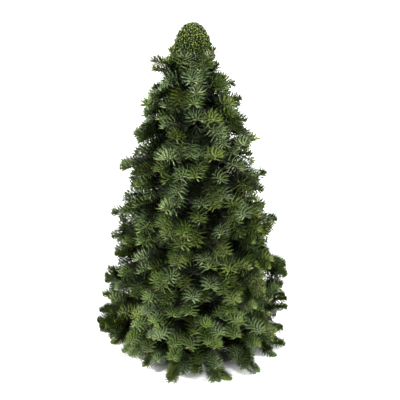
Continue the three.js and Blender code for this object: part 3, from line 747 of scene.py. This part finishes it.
def joined(groups):
    """Many alike small forms, each group its points, the faces they share and those faces' materials,
    as one mesh."""
    points, faces, materials = [], [], []
    count = 0
    for form_points, form_faces, form_materials in groups:
        forms, size = form_points.shape[:2]
        points.append(form_points.reshape(-1, 3))
        offsets = count + np.arange(forms)[:, None, None] * size
        faces.append((form_faces[None] + offsets).reshape(-1, 3))
        materials.append(form_materials.ravel())
        count += forms * size
    return np.concatenate(points), np.concatenate(faces), np.concatenate(materials)


def tint_of(shoots):
    """The tint dealt to each shoot by its own chance, shifted by the height of its tip."""
    own = chance(shoots["mass"], shoots["index"], 7) + np.interp(shoots["tip"][:, 2], *TINT_SHIFT)
    return np.searchsorted(TINT_SHARES, own)


def some(shoots, chosen):
    """The chosen ones of a group of shoots."""
    return {key: values[chosen] for key, values in shoots.items()}


def dull_needles(name, greens):
    """The skin of old and inner needles: a fine mottle of two dark greens, which are painted shade, with
    hardly any shine.
    """
    return mottled_material(name, *greens, scale=NEEDLE_MOTTLE, contrast=0.45, roughness=(0.5, 0.65))


def lit_and_shaded(name, lit, soft, shaded):
    """The skins of one tint's needles: a waxy mottle of its two greens, and its shaded green, which is
    painted shade.
    """
    return [mottled_material(name, lit, soft, scale=NEEDLE_MOTTLE, contrast=0.45, roughness=(0.42, 0.6)),
            mottled_material(f"{name}_shaded", shaded, DEEP_SHADE, scale=NEEDLE_MOTTLE, contrast=0.7,
                             roughness=(0.5, 0.65))]


FOLIAGE = [f"foliage_{space['name']}" for space in SPACES]
leader_tint, side_tint = tint_of(leaders), tint_of(sides)
for tint, (name, greens) in enumerate(TINTS.items()):
    groups = []
    for shoots, green in ((some(leaders, leader_tint == tint), NEW_GROWTH),
                          (some(sides, side_tint == tint), 0.9 * NEW_GROWTH)):
        groups += [
            needle_blades(shoots, bare=0.001, green=0.9 * green, pitch=0.00108, stout=0.92, spread=0.76),
            needle_blades(shoots, bare=0.003, green=1.2 * green, pitch=0.0011, size=0.9, rings=1,
                          slots=(1, 1), phase=2),
        ]
    points, faces, materials = joined(groups)
    add_piece(f"needles_{name}", points, faces, lit_and_shaded(f"needle_{name}", *greens), "needles",
              FOLIAGE, materials)
points, faces, materials = joined([
    needle_blades(leaders, bare=0.9 * NEW_GROWTH, green=0.095, pitch=0.0012, size=0.85, stout=1.3, rings=1,
                  lean=OLD_LEAN),
    needle_blades(sides, bare=0.8 * NEW_GROWTH, green=0.06, pitch=0.0011, size=0.85, stout=1.3, rings=1,
                  lean=OLD_LEAN)])
add_piece("needles_old", points, faces, [dull_needles("needle_old", OLD_SHADED_GREEN)], "needles", FOLIAGE,
          materials)
points, faces, materials = joined([
    needle_blades(inner, bare=0.0, green=0.1, pitch=0.0023, size=1.1, stout=1.6, rings=1)])
add_piece("needles_inner", points, faces, [dull_needles("needle_inner", INNER_SHADED_GREEN)], "needles", FOLIAGE,
          materials)


# Round top
# The leader's end buds and the stubby shoots of its last whorl stand so close that the tree closes in
# a dome. Their needles are short and crowded, and most point outward.
DOME_SHOOTS = 300
DOME_FOOT = 0.700
DOME_TOP = 0.795
DOME_RADIUS = 0.041
DOME_BLUNTNESS = 3.0
DOME_VARIES = (0.95, 0.08)
DOME_RISE_SCATTER = 0.03
DOME_TURN_SCATTER = 0.3
DOME_STUB = 0.014
DOME_UPSWEEP = math.radians(20)
DOME_STEEPEST = math.radians(88)
DOME_CORE = 0.2  # of the dome's girth, where the stubs' twigs start
DOME_TWIG_DROP = 0.02  # and how far below their bends
DOME_TWIG_ROOT = 0.0016
DOME_TWIG_TIP = 0.001
DOME_TWIG_GRID = (5, 5)  # rings, sides
DOME_NEEDLES = 0.46  # of an ordinary needle's length
DOME_MASS = 60
DOME_INDEX = 3000
# The round top's own yellowish and olive greens, made paler than the rest of the crown's as painted light
# from above. The third green of each is its shaded one.
TOP_PAINTED_LIGHT_TINTS = {
    "olive_green": ("a5bc56", "7d9442", "1f280d"),
    "mid_green": ("93b55b", "6d8e44", "1b260e"),
    "yellow_green": ("b8c45e", "8d9d47", "262c0e"),
    "grey_green": ("a2b987", "82996c", "202817"),
}
TOP_SHARES = [0.4, 0.65, 0.85]  # the rest is grey green

# The stubs stand a golden turn apart and climb evenly. The girth at a share of the dome's height is the
# root of one less that share to the power of its bluntness. Each stub stands about square to the dome
# and sweeps up a little.
stub = np.arange(DOME_SHOOTS)
rise = (stub + 0.5) / DOME_SHOOTS + DOME_RISE_SCATTER * (chance(DOME_MASS, stub, 2) - 0.5)
girth = np.sqrt(1 - np.clip(rise, 0, 0.999) ** DOME_BLUNTNESS)
square_to_dome = np.arctan2(DOME_RADIUS * rise, (DOME_TOP - DOME_FOOT) * girth)
steep = np.minimum(DOME_UPSWEEP + square_to_dome, DOME_STEEPEST)
turn = stub * GOLDEN_TURN + DOME_TURN_SCATTER * chance(DOME_MASS, stub, 3)
tip = around(DOME_RADIUS * girth * varied(DOME_VARIES, chance(DOME_MASS, stub, 1)), turn,
             DOME_FOOT + (DOME_TOP - DOME_FOOT) * rise)
heading = np.stack([np.cos(turn) * np.cos(steep), np.sin(turn) * np.cos(steep), np.sin(steep)], axis=-1)
bend = tip - DOME_STUB * heading
start = around(DOME_CORE * DOME_RADIUS * girth, turn, bend[:, 2] - DOME_TWIG_DROP)
dome = {"start": start, "bend": bend, "tip": tip, "mass": np.full(DOME_SHOOTS, DOME_MASS),
        "index": stub + DOME_INDEX, "free": np.full(DOME_SHOOTS, False)}
dome_twigs = tubes_along([start, bend, tip], np.full(DOME_SHOOTS, DOME_TWIG_ROOT),
                         np.full(DOME_SHOOTS, DOME_TWIG_TIP), *DOME_TWIG_GRID)
add_piece("top_twigs", *dome_twigs, [twig_bark], "bark", smooth=True)

dome_tints = np.searchsorted(TOP_SHARES, chance(DOME_MASS, stub, 7))
for number, (name, greens) in enumerate(TOP_PAINTED_LIGHT_TINTS.items()):
    crowded = some(dome, dome_tints == number)
    # Each lit needle of the stubs takes the shaded green over its base, as painted shade beside the twig.
    points, faces, materials = joined([
        needle_blades(crowded, bare=0.0, green=DOME_STUB, pitch=0.0013, size=DOME_NEEDLES, stout=0.95,
                      spread=1.0, lean=(30, 60, 70), slots=(1, 0)),
        needle_blades(crowded, bare=0.002, green=0.022, pitch=0.0014, size=DOME_NEEDLES, spread=1.0,
                      rings=1, lean=(8, 40, 60), slots=(1, 1), phase=1)])
    add_piece(f"top_needles_{name}", points, faces, lit_and_shaded(f"top_{name}", *greens), "needles",
              ["foliage_top"], materials)


# Buds
# Small scaly buds, orange-brown and a little resinous. Each grows closed at the tip of its shoot, with
# its scales pressed together.
BUD_LENGTH = 0.0055
BUD_RADIUS = 0.0013
BUD_ENDS = (0.05, 0.97)  # where its first and last ring stand, of its length
BUD_SEAT = 0.15  # how much of it sits on the shoot's tip
BUD_FULLNESS = 0.8
BUD_GRID = (4, 5)  # rings, sides
TOP_BUD_SIZE = 0.8
TOP_BUD_SHARE = 0.1  # of the round top's stubs
BUD_PALE = "8c6236"
BUD_DARK = "4f331b"


def buds_on(shoots, size):
    """Points and faces of egg shapes on the tips of shoots: the radius goes with the sine of half a turn
    over the way, whose power sets where it is fullest."""
    ahead = unit(shoots["tip"] - shoots["bend"])
    way = np.linspace(*BUD_ENDS, BUD_GRID[0])
    middles = shoots["tip"][:, None] + size * BUD_LENGTH * (way - BUD_SEAT)[None, :, None] * ahead[:, None]
    sideways, upward = frame_of(np.broadcast_to(ahead[:, None], middles.shape))
    radii = np.broadcast_to(size * BUD_RADIUS * np.sin(np.pi * way ** BUD_FULLNESS)[None, :, None],
                            (len(ahead), *BUD_GRID))
    return tube_mesh(middles, sideways, upward, radii, np.linspace(0, 2 * np.pi, BUD_GRID[1], endpoint=False))


bud_scales = mottled_material("bud_scales", BUD_PALE, BUD_DARK, scale=420.0, contrast=0.5,
                              roughness=(0.35, 0.6), bump=0.4, depth=0.0004)
add_piece("buds", *buds_on(together([leaders, sides]), 1.0), [bud_scales], "bark", smooth=True)
budded = some(dome, chance(DOME_MASS, stub, 9) < TOP_BUD_SHARE)
add_piece("top_buds", *buds_on(budded, TOP_BUD_SIZE), [bud_scales], "bark", smooth=True)


# Studio
# A white floor and a white room, lit from both sides and more weakly from above and behind, as for a
# catalogue photograph. The camera looks down at the tree from about 25 degrees.
CAMERA_ELEVATION = math.radians(25)
CAMERA_DISTANCE = 2.5
CAMERA_LENS = 96.0
TREE_MIDDLE = 0.4
AIM_RIGHT = 0.0164  # the tree stands this far left of the picture's middle
AIM_DOWN = 0.0281  # and this far above it
FLOOR_SIZE = 12.0
SKY_STRENGTH = 0.11
BACKDROP_STRENGTH = 1.1
SHADE_RADII = (0.14, 0.27)  # inside the first the floor shows no glow, a painted shadow, and from the second it glows white
LIGHTS = [  # name, place, size, watts
    ("key", (2.45, -0.55, 1.7), 0.3, 168),
    ("fill", (-2.5, -0.5, 1.5), 0.3, 205),
    ("top", (0, -0.6, 3.0), 0.6, 34),
    ("back", (0.3, 2.5, 1.7), 1.0, 70),
]

floor_mesh = bpy.data.meshes.new("floor")
side = FLOOR_SIZE / 2
floor_mesh.from_pydata([(-side, -side, 0), (side, -side, 0), (side, side, 0), (-side, side, 0)], [],
                       [(0, 1, 2, 3)])
floor = bpy.data.objects.new("floor", floor_mesh)
bpy.context.scene.collection.objects.link(floor)
white = bpy.data.materials.new("white_floor")
white.use_nodes = True
nodes, link = white.node_tree.nodes, white.node_tree.links.new
surface = nodes["Principled BSDF"]
surface.inputs["Base Color"].default_value = (0.8, 0.8, 0.8, 1)
surface.inputs["Emission Color"].default_value = (1, 1, 1, 1)
surface.inputs["Roughness"].default_value = 0.9
surface.inputs["Specular IOR Level"].default_value = 0.1
# The floor glows white for the camera only, and its glow fades out towards the tree's foot: a painted shadow
# under the crown.
spot = nodes.new("ShaderNodeTexCoord")
distance = nodes.new("ShaderNodeVectorMath")
distance.operation = "LENGTH"
glow_past_painted_shadow = nodes.new("ShaderNodeMapRange")
glow_past_painted_shadow.interpolation_type = "SMOOTHSTEP"
glow_past_painted_shadow.inputs["From Min"].default_value = SHADE_RADII[0]
glow_past_painted_shadow.inputs["From Max"].default_value = SHADE_RADII[1]
glow_past_painted_shadow.inputs["To Max"].default_value = 1.0
seen_floor = nodes.new("ShaderNodeLightPath")
glow = nodes.new("ShaderNodeMath")
glow.operation = "MULTIPLY"
link(spot.outputs["Object"], distance.inputs[0])
link(distance.outputs["Value"], glow_past_painted_shadow.inputs["Value"])
link(seen_floor.outputs["Is Camera Ray"], glow.inputs[0])
link(glow_past_painted_shadow.outputs["Result"], glow.inputs[1])
link(glow.outputs[0], surface.inputs["Emission Strength"])
floor_mesh.materials.append(white)

world = bpy.data.worlds.new("studio")
world.use_nodes = True
nodes, link = world.node_tree.nodes, world.node_tree.links.new
backdrop = nodes["Background"]
backdrop.inputs["Color"].default_value = (1, 1, 1, 1)
seen = nodes.new("ShaderNodeLightPath")
level = nodes.new("ShaderNodeMapRange")
level.inputs["To Min"].default_value = SKY_STRENGTH
level.inputs["To Max"].default_value = BACKDROP_STRENGTH
link(seen.outputs["Is Camera Ray"], level.inputs["Value"])
link(level.outputs["Result"], backdrop.inputs["Strength"])
bpy.context.scene.world = world
bpy.context.scene.view_settings.view_transform = "Standard"


def looking(place, aim):
    """The placement of a camera or light that looks from a place to an aim."""
    turn = (Vector(aim) - Vector(place)).to_track_quat("-Z", "Y")
    return Matrix.Translation(place) @ turn.to_matrix().to_4x4()


for name, place, size, watts in LIGHTS:
    light = bpy.data.lights.new(name, "AREA")
    light.size = size
    light.energy = watts
    lamp = bpy.data.objects.new(name, light)
    bpy.context.scene.collection.objects.link(lamp)
    lamp.matrix_world = looking(place, (0, 0, TREE_MIDDLE))

camera_data = bpy.data.cameras.new("camera")
camera_data.lens = CAMERA_LENS
camera = bpy.data.objects.new("camera", camera_data)
bpy.context.scene.collection.objects.link(camera)
place = np.array([0, -CAMERA_DISTANCE * math.cos(CAMERA_ELEVATION),
                  TREE_MIDDLE + CAMERA_DISTANCE * math.sin(CAMERA_ELEVATION)])
down = np.array([0, -math.sin(CAMERA_ELEVATION), -math.cos(CAMERA_ELEVATION)])
aim = np.array([AIM_RIGHT, 0, TREE_MIDDLE]) + AIM_DOWN * down
camera.matrix_world = looking(tuple(place), tuple(aim))
bpy.context.scene.camera = camera
